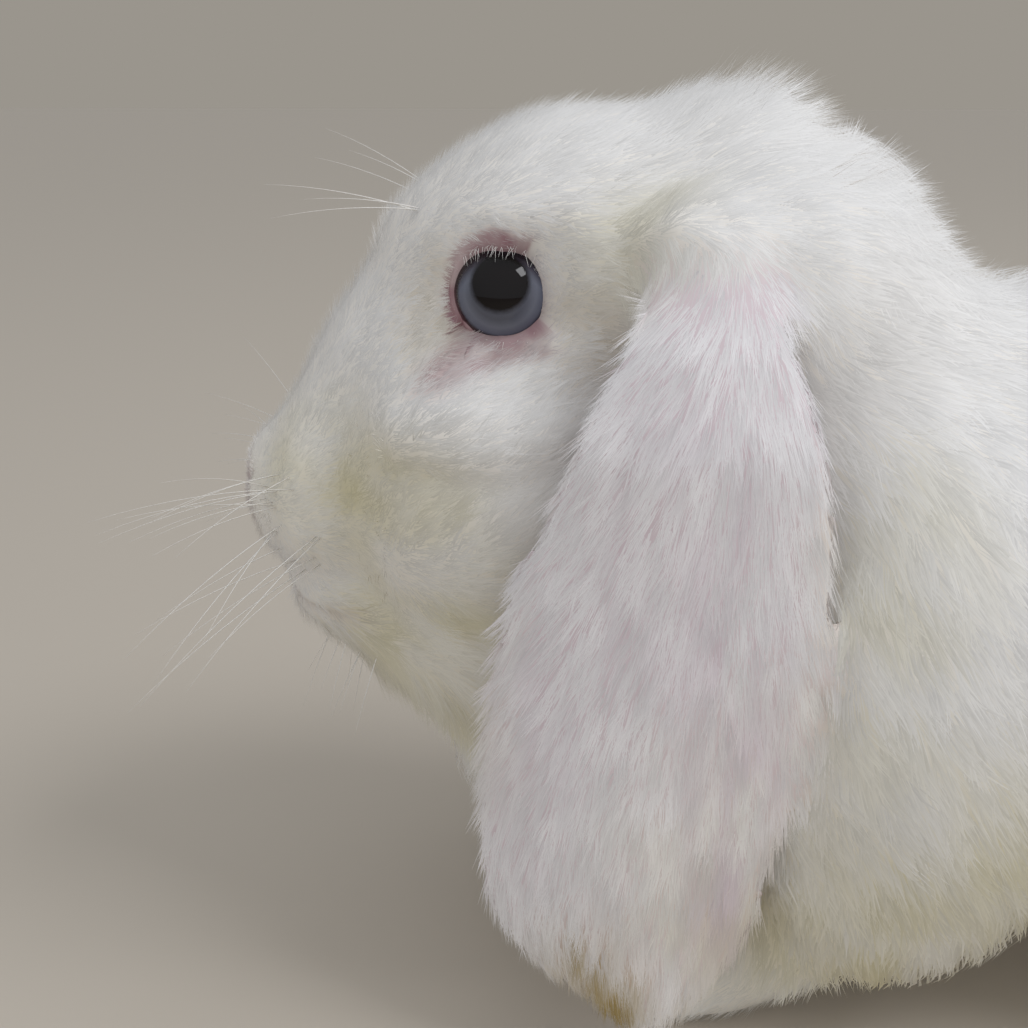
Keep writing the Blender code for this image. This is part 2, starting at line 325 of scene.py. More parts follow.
ears = [even_ear(*arrays_of(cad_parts[name].data)) for name in EAR_NODES]
pads = [ball(np.array(EAR_PAD[0]) * (side, 1, 1), np.array(EAR_PAD[1])) for side in (1, -1)]
skin, skin_quads = voxel_skin(
    *joined([(body, halved(body_quads))] + ears + pads), SKIN_VOXEL)
print("one skin:", len(skin), "points")


# %% Keep the outer shell only, and even it out
def largest_piece(points, quads):
    """Drops the small shells that a remesh can leave inside."""
    label = np.arange(len(points))
    edges = edges_of(quads)
    while True:
        low = np.minimum(label[edges[:, 0]], label[edges[:, 1]])
        new = label.copy()
        np.minimum.at(new, edges[:, 0], low)
        np.minimum.at(new, edges[:, 1], low)
        new = new[new]
        if (new == label).all():
            break
        label = new
    main = np.bincount(label).argmax()
    keep = label == main
    number = np.cumsum(keep) - 1
    return points[keep], number[quads[keep[quads].all(axis=1)]]


# One round that shrinks and one that swells it back smooth a thin ear without melting it.
SHRINK, SWELL_BACK = 0.5, -0.52
skin, skin_quads = largest_piece(skin, skin_quads)
skin_edges = edges_of(skin_quads)
root_weight = 0.5 * zone(skin, (33, -86, 138), (16, 20, 16))
skin = relaxed(skin, skin_edges, root_weight, 20)
skin = relaxed(skin, skin_edges, 0.5 * zone(skin, EYE_CENTRE, (17, 17, 17)), 14)
of_ears = zone(skin, (46, -94, 78), (23, 44, 78), 0.15)
for rounds, share in ((6, 1.0), (60, of_ears)):
    for _ in range(rounds):
        skin = relaxed(skin, skin_edges, SHRINK * share, 1)
        skin = relaxed(skin, skin_edges, SWELL_BACK * share, 1)
print("kept:", len(skin), "points")

# %% [markdown]
# Sinking the ears like the body would turn them inside out, as they are so thin. Each point
# of an ear moves in by a share of the thickness under it instead.

# %% Thin the ears
EAR_COAT, EAR_SHARE = 1.5, 0.26  # most mm off each side, and share of the thickness


def distance_to(points, shape, reach):
    """How far each point is from a shape's surface, up to a reach."""
    tree = BVHTree.FromPolygons(shape[0].tolist(), shape[1].tolist())
    away = np.full(len(points), float(reach))
    for i, point in enumerate(points.tolist()):
        found = tree.find_nearest(point, reach)
        if found[0] is not None:
            away[i] = found[3]
    return away


def nearest_of(places, points):
    """The number of the nearest of some places, for each point."""
    tree = KDTree(len(places))
    for k, place in enumerate(places.tolist()):
        tree.insert(place, k)
    tree.balance()
    return np.array([tree.find(point)[1] for point in points.tolist()])


joined_ears = np.zeros(len(skin))
for side, ear in zip((1, -1), ears):
    near = (skin[:, 0] * side > 24) & (skin[:, 1] < -50) & (skin[:, 1] > -135)
    joined_ears[near] = step(2.0, 0.7, distance_to(skin[near], ear, 6))
joined_ears = relaxed(joined_ears, skin_edges, 0.5, 4)
skin_faces, sink = halved(skin_quads), np.zeros(len(skin))
outward = normals_of(skin, skin_faces)
skin_tree = BVHTree.FromPolygons(skin.tolist(), skin_faces.tolist())
for i in np.flatnonzero(joined_ears > 0.02):
    inward = Vector(-outward[i])
    reach = skin_tree.ray_cast(Vector(skin[i]) + inward * 0.05, inward)[3]
    sink[i] = min(EAR_COAT, (reach or 1.0) * EAR_SHARE) * joined_ears[i]
sink = relaxed(sink, skin_edges, 0.5, 8)
thinned_skin = skin = skin - outward * sink[:, None]
print("ears thinned by up to %.1f mm on each side" % sink.max())

# %% [markdown]
# ## Fine mesh on the face
# Lids, the corner of the eye, the split lip and the nostrils need points a third of a
# millimetre apart. The rest of the body is under a deep coat and doesn't, so only the face
# is divided, once all over and once more around the eyes and nose.

# %% Divide the face
AROUND_EYE, AROUND_NOSE = (20, 16), (24, 14)  # reach of the first and the second division


def from_features(points):
    """How far each point is from the middle of the nearer eye, and from the nose."""
    return (np.linalg.norm(mirrored(points) - EYE_CENTRE, axis=1),
            np.linalg.norm(points - NOSE_TIP, axis=1))


def divided(points, faces, level):
    """A bmesh of the faces, with the edges near the eyes and the nose cut in two."""
    made = bmesh.new()
    verts = [made.verts.new(point) for point in points.tolist()]
    for corners in faces:
        made.faces.new([verts[c] for c in corners])
    eye, nose = from_features(np.array([f.calc_center_median()[:] for f in made.faces]))
    chosen = (eye < AROUND_EYE[level]) | (nose < AROUND_NOSE[level])
    edges = {e for f, pick in zip(made.faces, chosen) if pick for e in f.edges}
    bmesh.ops.subdivide_edges(made, edges=list(edges), cuts=1, use_grid_fill=True)
    return made


fine = divided(skin, skin_quads.tolist(), 0)
fine.verts.index_update()
points = np.array([v.co[:] for v in fine.verts])
faces = [[v.index for v in f.verts] for f in fine.faces]
fine.free()
fine = divided(points, faces, 1)
bmesh.ops.triangulate(fine, faces=fine.faces[:])
fine.verts.index_update()
skin = np.array([v.co[:] for v in fine.verts])
skin_faces = np.array([[v.index for v in f.verts] for f in fine.faces])
fine.free()
skin_edges = edges_of(skin_faces)
near_face = np.minimum(*from_features(skin))
skin = relaxed(skin, skin_edges, 0.5 * step(26, 20, near_face), 5)
print("fine skin:", len(skin), "points,", len(skin_faces), "triangles")

# %% [markdown]
# ## Eyelids
# A rabbit's eye is large, round and set at the side of the head, and the lids fit it
# closely. Directions from the middle of the eyeball are laid flat, like a map around the
# line of sight. On that map the opening is round, with a low pointed corner at the front.
# Inside it the skin drops behind the eyeball. Outside it the skin rises to a thick, moist
# rim, with a shallow crease around it, and runs out into the cheek.

# %% Shape the lids
GAZE = unit(np.array((0.975, -0.07, 0.20)))
LID_UP = unit(np.array((0, 0, 1)) - GAZE * GAZE[2])
LID_FRONT = np.cross(LID_UP, GAZE) * (-1 if np.cross(LID_UP, GAZE)[1] > 0 else 1)
# Reach of the opening over the ball in mm, every 45 degrees from the front, over the top.
OPENING = (10.3, 9.3, 7.1, 8.5, 9.9, 8.9, 8.3, 9.9)
FRONT_CORNER, REAR_CORNER = math.radians(-46), math.radians(163)
LID_RISE, LID_BLEND = 0.28, 6.5  # mm over the ball at the rim, and mm to run out in


def eye_map(points, side):
    """Reach over the ball in mm, the angle there from the front, and distance from its centre."""
    from_centre = points * (side, 1, 1) - EYE_CENTRE
    reach = np.linalg.norm(from_centre, axis=1)
    towards = from_centre / np.maximum(reach, 1e-6)[:, None]
    over = np.arccos(np.clip(towards @ GAZE, -1, 1)) * EYE_RADIUS
    return over, np.arctan2(towards @ LID_UP, towards @ LID_FRONT), reach


def peak(angle, middle, width):
    """1 at an angle, falling to 0 on either side of it."""
    away = (angle - middle + math.pi) % (2 * math.pi) - math.pi
    return np.exp(-(away / width) ** 2)


def opening_at(angle):
    """How far the opening reaches over the ball, with a point at each corner of the eye."""
    turns = np.linspace(0, 2 * math.pi, 9)
    even = np.interp(angle % (2 * math.pi), turns, OPENING + OPENING[:1])
    return even + 2.6 * peak(angle, FRONT_CORNER, 0.17) + 0.5 * peak(angle, REAR_CORNER, 0.45)


lid_distance = np.full(len(skin), 99.0)
lid_angle, corner_share = np.zeros(len(skin)), np.zeros(len(skin))
for side in (1, -1):
    over, angle, reach = eye_map(skin, side)
    edge = over - opening_at(angle)
    above = np.maximum(reach - EYE_RADIUS - LID_RISE, 0)
    beyond = np.hypot(np.maximum(edge, 0), above)
    own = (skin[:, 0] * side > 0) & (edge < 9) & (beyond < LID_BLEND)
    crease = 0.22 * np.exp(-((edge - 1.9) / 0.6) ** 2)
    swell = 0.5 * np.exp(-((edge - 3.4) / 1.4) ** 2) * peak(angle, math.pi / 2, 1.2)
    hood = 0.55 * np.exp(-((edge - 0.7) / 1.0) ** 2) * peak(angle, math.pi / 2, 1.0)
    ring = EYE_RADIUS + LID_RISE + 0.10 * np.exp(-((edge - 0.5) / 0.5) ** 2)
    ring = ring + hood + swell - crease
    share = step(1.0, LID_BLEND, beyond)
    outside = np.maximum(ring * (1 - share) + reach * share, EYE_RADIUS + 0.3)
    caruncle = step(8.6, 10.2, over) * peak(angle, FRONT_CORNER, 0.3)
    inside = EYE_RADIUS - 1.1 + caruncle * 1.25
    rise = step(-0.55, 0.3, edge)
    wanted = inside * (1 - rise) + outside * rise
    centre = EYE_CENTRE * (side, 1, 1)
    skin[own] = centre + unit(skin[own] - centre) * wanted[own, None]
    from_edge = np.hypot(edge, np.maximum(wanted - EYE_RADIUS - LID_RISE, 0))
    lid_distance = np.where(own, np.where(edge > 0, from_edge, edge), lid_distance)
    lid_angle = np.where(own, angle, lid_angle)
    corner_share = np.where(own, np.maximum(corner_share, caruncle * (edge < 0.6)), corner_share)
around = step(0.9, 2.4, lid_distance) * step(24, 17, from_features(skin)[0])
skin = relaxed(skin, skin_edges, 0.5 * around, 50)
print("lid points:", int((lid_distance < 2).sum()))

# %% [markdown]
# ## Nose and mouth
# A rabbit's nose is two slanting slits over a split upper lip, which make a Y. Each line is
# pressed in as a soft groove along a short run in space, deepest at its middle.

# %% Press in the nose, lip and ear folds
# Each row: the two ends of the line, how wide it is, and how many mm deep.
GROOVES = {
    "nostril": ((1.5, -168, 94.5), (5.8, -164, 98.0), 0.7, 0.9),
    "lip split": ((0, -168, 93.5), (0, -163, 80), 0.5, 0.7),
    "mouth": ((0, -161, 78), (11, -152, 72.5), 0.8, 1.2),
    "mouth corner": ((11, -152, 72.5), (14, -145, 73), 0.7, 0.8),
    "under the eye": ((25, -111, 123.6), (25, -120.5, 121.6), 1.4, 0.7),
    "tear line": ((25, -120.5, 121.6), (23.5, -131, 117.6), 1.5, 0.9),
    "ear fold": ((36, -88, 149), (41, -81, 146), 1.1, 1.6),
    "ear fold rear": ((41, -81, 146), (42, -71, 142), 1.2, 1.5),
    "ear pleat": ((46, -90, 137), (50, -82, 131), 1.3, 0.8),
}


def from_line(points, start, end):
    """How far each point is from a line between two ends."""
    start, end = np.array(start, float), np.array(end, float)
    line = end - start
    share = np.clip((points - start) @ line / (line @ line), 0, 1)
    return np.linalg.norm(points - start - share[:, None] * line, axis=1)


mirror = mirrored(skin)
outward = normals_of(skin, skin_faces)
groove = np.zeros(len(skin))
mouth_line = np.zeros(len(skin))
for name, (start, end, width, deep) in GROOVES.items():
    press = np.exp(-(from_line(mirror, start, end) / (width * 1.7)) ** 2)
    groove += press * deep
    if name.startswith(("nostril", "lip", "mouth")):
        mouth_line = np.maximum(mouth_line, press)
skin = skin - outward * groove[:, None]
print("deepest groove: %.1f mm" % groove.max())

# %% [markdown]
# ## The lie of the coat
# Fur grows from the nose back over the face to the roots of the ears, back along the neck
# and trunk, and down the sides, legs and ears. Each zone has its own direction. The
# directions are mixed where zones meet, laid onto the skin and evened out, so that the coat
# turns without a parting, as it does on the animal.

# %% Which points belong to the ears
side_of = np.where(skin[:, 0] < 0, -1.0, 1.0)
mirror = mirrored(skin)
outward = normals_of(skin, skin_faces)
ear_here = relaxed(joined_ears[nearest_of(thinned_skin, skin)], skin_edges, 0.5, 2)
ear_here *= step(147, 135, skin[:, 2])
print("ear points:", int((ear_here > 0.5).sum()))

# %% Directions of growth
EAR_BASE, CROWN_TOP = (34, -74, 140), (6, -40, 168)


def towards(points, target):
    """The direction from each point to one place."""
    return unit(np.array(target, float) - points)


def fixed(vector):
    """The same direction at every point."""
    return np.tile(unit(np.array(vector, float)), (len(mirror), 1))


def lay(field, direction, share):
    """Lays one direction over the field, as strongly as share says."""
    return field * (1 - share[:, None]) + direction * share[:, None]


up_facing, side_facing = outward[:, 2], outward[:, 0] * side_of
field = fixed((0.05, 0.8, -0.6))
field = lay(field, fixed((0, 1, -0.05)), step(0.55, 0.9, up_facing))
field = lay(field, fixed((0.0, 0.9, -0.35)), step(-0.4, -0.8, up_facing))
field = lay(field, fixed((0.0, 0.35, -0.95)), zone(mirror, (0, 150, 70), (80, 45, 80)))
field = lay(field, fixed((0.12, 0.55, -0.85)), zone(mirror, (50, -40, 60), (40, 60, 70)))
field = lay(field, fixed((0, 0.15, -1)), zone(mirror, (0, -110, 40), (60, 40, 45)))
field = lay(field, fixed((0.1, 1, -0.3)), zone(mirror, (20, -60, 145), (40, 34, 30)))
field = lay(field, fixed((0, 0.1, -1)), zone(mirror, (30, -60, 28), (26, 34, 20)))
field = lay(field, fixed((0, -1, -0.25)), zone(mirror, (24, -82, 6), (18, 26, 10)))
field = lay(field, fixed((0.1, 0.5, -0.9)), zone(mirror, (65, 70, 60), (26, 62, 50)))
field = lay(field, fixed((0, -1, -0.1)), zone(mirror, (52, 50, 10), (20, 56, 12)))
field = lay(field, fixed((0, 0.5, 0.8)), zone(mirror, (0, 155, 50), (18, 20, 28)))
face = step(-70, -90, skin[:, 1]) * step(58, 66, skin[:, 2]) * (1 - ear_here)
over_face = lay(towards(mirror, EAR_BASE), towards(mirror, CROWN_TOP),
                np.maximum(step(20, 4, mirror[:, 0]) * step(0.0, 0.5, up_facing),
                           step(144, 156, mirror[:, 2])))
from_nose = -towards(mirror, (0, -168, 93))
over_face = lay(over_face, from_nose, zone(mirror, (0, -163, 92), (20, 18, 26)) * 0.7)
over_face = lay(over_face, fixed((0, 1, -0.5)), step(0.0, -0.6, up_facing))
field = lay(field, over_face, face)
field = lay(field, fixed((0.05, 1, 0.25)), zone(mirror, (0, -74, 168), (26, 14, 12)))
down_ear = -towards(mirror, (36, -80, 150)) * (1, 1.5, 1)
down_ear = lay(down_ear, towards(mirror, (47, -93, -25)), step(75, 20, skin[:, 2]) * 0.75)
ear_root = zone(mirror, (42, -84, 132), (14, 18, 12))
field = lay(field, down_ear, np.maximum(ear_here, ear_root))
field[:, 0] *= side_of


def laid_flat(directions):
    """Directions turned into the skin at each point."""
    return unit(directions - outward * (directions * outward).sum(1, keepdims=True))


for _ in range(6):
    field = relaxed(laid_flat(field), skin_edges, 0.5, 5)
field = laid_flat(field)
turns = (field[skin_edges[:, 0]] * field[skin_edges[:, 1]]).sum(axis=1)
print("edges where the coat turns by over 60 degrees: %.2f %%" % (100 * (turns < 0.5).mean()))

# %% [markdown]
# ## Markings
# The coat is white all over. On the muzzle, the cheek, the jaw and the throat it is tinged
# cream, partly the fur's own yellowing and partly painted warm bounce light. Cream and tan
# spots in the hollows before and behind the eye and behind the ear, and low on the shoulder
# and chest, are painted shade, and the lowest part of the body is faintly cream too. The tip
# of the ear is stained yellow. The thin skin shows through the ear's short fur as mauve
# streaks. The rims of the eyes, the tear lines and the nostrils are nearly bare and
# mauve-pink. Each of these is one number from 0 to 1 at each point of the skin, and the
# tufts take the number of the skin at their root, so that skin and coat agree.

# %% Numbers for the markings
def both_sides(spots):
    """Soft spots on both sides of the body: where, how large and how strong."""
    return np.clip(sum(strength * zone(mirror, centre, radii, 0.6)
                       for centre, radii, strength in spots), 0, 1)


def along_line(start, end, wide):
    """1 on a line between two ends, falling off within about a width on either side."""
    return np.exp(-(from_line(mirror, start, end) / wide) ** 2)


# Cream on the muzzle, cheek, jaw and throat: partly yellowed fur, partly painted warm bounce light.
# Behind the eye, behind the ear and low on the shoulder and chest: painted shade. The last row:
# faintly cream low on the body.
cream_and_shade = both_sides([
    ((30, -137, 101), (14, 14, 9), 0.5),
    ((26, -128, 84), (20, 20, 17), 0.4),
    ((20, -130, 66), (24, 24, 14), 0.85),
    ((16, -150, 101), (14, 13, 13), 0.5),
    ((30, -98, 143), (12, 10, 10), 0.45),
    ((44, -58, 100), (14, 12, 14), 0.45),
    ((40, -50, 46), (50, 40, 34), 0.5),
    ((30, -40, 30), (50, 60, 26), 0.35),
    ((0, 60, 12), (70, 100, 16), 0.3),
])
# A stain at the tip of the ear; the two spots before and behind the eye are painted shade of the
# hollows there.
stain_and_shade = both_sides([
    ((50, -104, 24), (9, 9, 9), 0.9), ((50, -95, 16), (9, 20, 8), 0.4),
    ((21, -131, 129), (8, 6, 11), 0.46), ((27, -104, 130), (8, 6, 9), 0.38),
])
mauve = ear_here * both_sides([
    ((50, -80, 62), (9, 7, 38), 0.6),
    ((50, -90, 96), (9, 10, 26), 0.45),
    ((50, -112, 70), (9, 7, 24), 0.4),
    ((50, -92, 36), (9, 12, 14), 0.2),
])
inner_ear = ear_here * step(-0.3, -0.8, side_facing)
# The bare rim is widest over the eye. A line runs from under the eye down to the cheek.
rim = (2.0 + 1.4 * peak(lid_angle, math.radians(98), 0.8)
       + 0.7 * peak(lid_angle, math.radians(-115), 0.9))
flush_lid = step(rim + 0.7, rim - 0.5, lid_distance)
tear_duct = np.maximum.reduce([
    strong * np.exp(-(from_line(mirror * (0.3, 1, 1), start, end) / wide) ** 2)
    for start, end, wide, strong in (
        ((7.5, -111, 124.6), (7.5, -120.5, 122.8), 1.4, 0.9),
        ((7.5, -120.5, 122.8), (7.2, -131, 118.2), 1.7, 1.0),
        ((7.4, -124.5, 125), (7.2, -130.5, 119.5), 2.0, 0.9))])
flush = np.clip(0.92 * np.maximum(flush_lid, tear_duct) + 0.06 * step(6.0, 1.5, lid_distance)
                + 0.35 * mouth_line + 0.5 * corner_share
                + 0.25 * inner_ear + 0.35 * zone(mirror, (0, -169, 92), (8, 7, 9))
                + 0.4 * along_line((39, -84, 147), (42, -72, 143), 1.4)
                + 0.7 * along_line((51, -82, 132), (52, -79, 128), 1.2),
                0, 1)
cream_and_shade, mauve, stain_and_shade, flush = (
    relaxed(mark, skin_edges, 0.5, 4) for mark in (cream_and_shade, mauve, stain_and_shade, flush))


def cloud(points, size, seed):
    """A soft random number from 0 to 1 over space, in patches about this many mm across."""
    lattice = np.random.default_rng(seed).random((64, 64, 64))
    total = np.zeros(len(points))
    for part, share in ((1.0, 0.65), (0.45, 0.35)):
        place = points / (np.array(size) * part) + 500
        cell = np.floor(place).astype(int)
        t = place - cell
        t = t * t * (3 - 2 * t)
        for corner in range(8):
            bits = np.array([corner & 1, corner >> 1 & 1, corner >> 2 & 1])
            weight = np.where(bits, t, 1 - t).prod(axis=1)
            total += share * weight * lattice[tuple(((cell + bits) % 64).T)]
    return np.clip((total - 0.5) * 2.2 + 0.5, 0, 1)


def broken(marks, points):
    """The four markings broken up in patches: yellowing with painted shade, mauve, stain with
    painted shade, and flush, as columns.
    """
    along_ear = np.column_stack((
        0.3 + 0.7 * cloud(points, (9, 9, 9), 1), cloud(points, (9, 3, 14), 2),
        0.2 + 0.8 * cloud(points, (6, 3, 6), 3), 0.7 + 0.3 * cloud(points, (4, 4, 4), 4)))
    return np.clip(np.column_stack(marks) * along_ear, 0, 1)


print("pink points:", int((flush > 0.5).sum()))

# %% Coat numbers on the skin
# An ear's fur is denser on the outside than on the inside, which shows the skin. The rear
# rim is rolled over and nearly smooth, and at the lids the fur thins out to bare skin.
EAR_OUTSIDE, EAR_INSIDE = (1.8, 8.0, 0.25, 4.8), (1.4, 4.2, 0.32, 2.0)
depth, length, width, density, _ = coat_over(skin)
for values, outer, inner in zip((depth, length, width, density), EAR_OUTSIDE, EAR_INSIDE):
    of_ear = outer * (1 - inner_ear) + inner * inner_ear
    values += (of_ear - values) * ear_here
rolled_rim = ear_here * along_line((49, -66, 118), (49, -66, 84), 3.0)
density *= 1 - 0.85 * rolled_rim
bare = np.clip(step(1.1, 0.3, lid_distance) + 0.4 * mouth_line + corner_share, 0, 1)
density *= 1 - bare
density *= 1 - 0.6 * np.maximum(flush_lid, 0.9 * tear_duct)
beside_lid = step(4, 0.5, lid_distance)
for values, less in ((length, 0.45), (width, 0.25), (depth, 0.35)):
    values *= 1 - less * beside_lid
print("least and most tufts to a square mm: %.1f, %.1f" % (density.min(), density.max()))

# %% [markdown]
# ## The skin as an object
# The skin keeps its own unwrap, made from its own shape, which every tuft then shares. The
# markings go onto it as named attributes for its material.

# %% Make the skin
def with_numbers(obj, marks, hair):
    """Two named attributes, three numbers each: the colour markings with their painted shade, and
    facts about the hair.
    """
    for name, values in (("tinges_and_shade", marks[:, :3]), ("hair", np.column_stack(hair))):
        layer = obj.data.attributes.new(name, "FLOAT_VECTOR", "POINT")
        layer.data.foreach_set("vector", values.astype(np.float32).ravel())


skin_object = object_of("skin", skin, skin_faces)
skin_marks = broken((cream_and_shade, mauve, stain_and_shade, flush), skin)
with_numbers(skin_object, skin_marks,
             (1.0 - ear_here * (1 - rolled_rim), cloud(skin, (1.5, 1.5, 3), 5), skin_marks[:, 3]))
bpy.context.view_layer.objects.active = skin_object
skin_object.select_set(True)
bpy.ops.object.mode_set(mode="EDIT")
bpy.ops.mesh.select_all(action="SELECT")
bpy.ops.uv.smart_project(angle_limit=math.radians(66), island_margin=0.001)
bpy.ops.object.mode_set(mode="OBJECT")
skin_object.data.uv_layers[0].name = "OFBake"
skin_uv = np.empty(len(skin_faces) * 6, np.float32)
skin_object.data.uv_layers["OFBake"].data.foreach_get("uv", skin_uv)
skin_uv = skin_uv.reshape(-1, 3, 2)
print("unwrapped", len(skin_uv), "triangles")

# %% [markdown]
# ## Coat
# Hair curves would be the quickest way to make fur, but they don't survive as a mesh, so
# each tuft is a thin closed solid: a spike where the fur is short, and a lock that is
# pointed at both ends where it is long. A long lock would stick out straight from a round
# body, so its middle and its tip are found by walking over the skin with the lie of the
# coat and standing each point off by its height. Tips of near neighbours lean together, as
# fur does, which gives the clumps that the eye reads as soft.

# %% The pieces of the coat
# Each triangle of the skin belongs to one piece: ear, head, feet, neck or trunk.
corner_points = skin[skin_faces]
face_areas = 0.5 * np.linalg.norm(np.cross(
    corner_points[:, 1] - corner_points[:, 0], corner_points[:, 2] - corner_points[:, 0]),
    axis=1)
face_middle = corner_points.mean(axis=1)
across, back, up = face_middle.T
on_ear = ear_here[skin_faces].mean(axis=1) > 0.5
on_head = (back < -66) & (up > 60) & ((back < -82) | (up > 128))
on_head = (on_head | ((back < -108) & (up > 48))) & ~on_ear
low_legs = (zone(face_middle, (26, -70, 12), (22, 40, 20), 0.02)
            + zone(face_middle, (52, 60, 10), (22, 62, 19), 0.02)) > 0.5
low_legs &= ~on_ear & ~on_head
on_neck = (back < 8) & ~on_ear & ~on_head & ~low_legs
on_trunk = ~(on_ear | on_head | low_legs | on_neck)
left_half = across >= 0
for name, part in (("ears", on_ear), ("head", on_head), ("feet", low_legs),
                   ("neck", on_neck), ("trunk", on_trunk)):
    print("skin of the %s: %.0f cm2" % (name, face_areas[part].sum() / 100))

# %% Where tufts grow
rng = np.random.default_rng(2024)
face_density = density[skin_faces].mean(axis=1)
skin_numbers = np.column_stack((depth, length, width, cream_and_shade, mauve, stain_and_shade, flush))


def grow_roots(where, crowd, size):
    """Roots spread over some triangles by area and density, with the skin's facts there."""
    chosen = np.flatnonzero(where)
    share = face_areas[chosen] * crowd[chosen]
    count = int(share.sum())
    picks = chosen[np.searchsorted(np.cumsum(share), rng.random(count) * share.sum())]
    a, b = np.sqrt(rng.random(count)), rng.random(count)
    weights = np.column_stack((1 - a, a * (1 - b), a * b))[:, :, None]
    corners = skin_faces[picks]

    def at(values):
        return (values[corners] * weights).sum(axis=1)

    numbers, root = at(skin_numbers), at(skin)
    numbers[:, :3] = numbers[:, :3] if size is None else size
    return {
        "root": root, "up": unit(at(outward)), "lie": unit(at(field)),
        "uv": (skin_uv[picks] * weights).sum(axis=1),
        "depth": numbers[:, 0], "length": numbers[:, 1], "width": numbers[:, 2],
        "marks": broken(numbers[:, 3:].T, root),
    }


def clumps(roots, size):
    """For each root, the number of the tuft at the middle of its clump."""
    count = len(roots)
    middles = rng.choice(count, max(1, int(count / size)), replace=False)
    return middles[nearest_of(roots[middles], roots)]


def turned(lie, up, angle):
    """A direction in the skin turned about the skin's normal."""
    return lie * np.cos(angle)[:, None] + np.cross(up, lie) * np.sin(angle)[:, None]


# %% Points and faces of a tuft
RIDGE = 0.12  # how far a tuft's middle stands up, as a share of its width
LOCK_WIDTHS = (0.62, 1.0, 0.8)  # of a long lock's width, near its root, middle and tip
LOWEST = 0.05  # mm over the floor


def tuft_points(spine, ups, width, flat_root):
    """Points of all tufts along a spine of 2 or more points, pointed at the tip.

    A tuft has three points round each ring of its spine: right, left and a ridge on top.
    Gives the points, the way up at each, and for one tuft how far along each point is,
    where it lies on the tuft's patch of the unwrap, and the numbers of its ridge points."""
    last = len(spine) - 1
    points, upward, along, patch, tops = [], [], [], [], []
    for k, place in enumerate(spine):
        share = k / last
        if k == last or (k == 0 and not flat_root):
            points.append(place)
            upward.append(ups[k])
            along.append(share)
            patch.append((share, 0.0))
            continue
        ahead = unit(spine[k + 1] - spine[max(k - 1, 0)])
        across = unit(np.cross(ahead, ups[k]))
        wide = (width * (1.0 if flat_root else LOCK_WIDTHS[min(k, 2)]))[:, None]
        points += [place + across * wide * 0.5, place - across * wide * 0.5,
                   place + ups[k] * wide * RIDGE]
        upward += [ups[k]] * 3
        along += [share, share, share + 0.02]
        patch += [(share, -0.45), (share, 0.45), (share + 0.12, 0.0)]
        tops.append(len(points) - 1)
    points = np.stack(points, axis=1)
    points[..., 2] = np.maximum(points[..., 2], LOWEST)
    return points, np.stack(upward, axis=1), along, patch, tops


def tuft_faces(tops, tip, flat_root):
    """The triangles of one tuft, as the numbers of its points."""
    faces = []
    for top in tops:
        right, left = top - 2, top - 1
        if top == tops[0]:
            faces += [(right, top, left)] if flat_root else [
                (right, top, 0), (left, right, 0), (top, left, 0)]
        if top == tops[-1]:
            faces += [(top, right, tip), (right, left, tip), (left, top, tip)]
        else:
            for a, b in ((top, right), (right, left), (left, top)):
                faces += [(a, b, b + 3), (a, b + 3, a + 3)]
    return np.array(faces)


# %% Tufts as closed solids
UV_PATCH = 0.0026  # side of a tuft's patch, on an unwrap whose side is 1
LIKE_SKIN = 0.72  # how far the upper faces are shaded as the skin under them


def shade_like_skin(made, points, upward, faces):
    """Turns the shading of the upper faces towards the skin's, so that tufts blend as hair."""
    corners = points[faces]
    facing = unit(np.cross(corners[:, 1] - corners[:, 0], corners[:, 2] - corners[:, 0]))
    facing, shading = facing[:, None], upward[faces]
    from_skin = LIKE_SKIN * np.clip((facing * shading).sum(2, keepdims=True), 0, 1)
    shading = unit(facing * (1 - from_skin) + shading * from_skin)
    layer = made.data.attributes.new("custom_normal", "FLOAT_VECTOR", "CORNER")
    layer.data.foreach_set("vector", shading.astype(np.float32).ravel())


def part_underside(made, per_tuft, tops):
    """Makes the edges round each underside sharp, which keeps its shading off the upper faces."""
    ends = np.empty(len(made.data.edges) * 2, np.int32)
    made.data.edges.foreach_get("vertices", ends)
    below = ~np.isin(ends.reshape(-1, 2) % per_tuft, tops).any(axis=1)
    made.data.attributes.new("sharp_edge", "BOOLEAN", "EDGE").data.foreach_set("value", below)


def unwrap_on_patches(made, roots, patch, faces):
    """Lays each tuft on a small patch at its root's place on the skin's unwrap."""
    uv = roots["uv"][:, None, :] + np.array(patch)[None] * UV_PATCH - UV_PATCH / 2
    uv = np.clip(uv.reshape(-1, 2), 0, 1)[faces.ravel()]
    made.data.uv_layers.new(name="OFBake").data.foreach_set(
        "uv", uv.astype(np.float32).ravel())


def tuft_mesh(name, spine, ups, width, roots, flat_root):
    """An object of closed tufts, with their markings, shading and unwrap."""
    points, upward, along, patch, tops = tuft_points(spine, ups, width, flat_root)
    count, per_tuft = points.shape[:2]
    points, upward = points.reshape(-1, 3), upward.reshape(-1, 3)
    one = tuft_faces(tops, per_tuft - 1, flat_root)
    faces = (one[None] + np.arange(count)[:, None, None] * per_tuft).reshape(-1, 3)
    made = object_of(name, points, faces)
    marks = np.repeat(roots["marks"], per_tuft, axis=0)
    tone = 0.4 * rng.random(count) + 0.6 * cloud(roots["root"], (2.2, 2.2, 6), 6)
    with_numbers(made, marks, (np.tile(along, count), np.repeat(tone, per_tuft), marks[:, 3]))
    shade_like_skin(made, points, upward, faces)
    part_underside(made, per_tuft, tops)
    unwrap_on_patches(made, roots, patch, faces)
    coat_objects.append(made)
    print(name, count, "tufts,", len(made.data.polygons), "triangles")


# %% Number of tufts in a piece
MOST_TRIANGLES = 198000
coat_objects = []


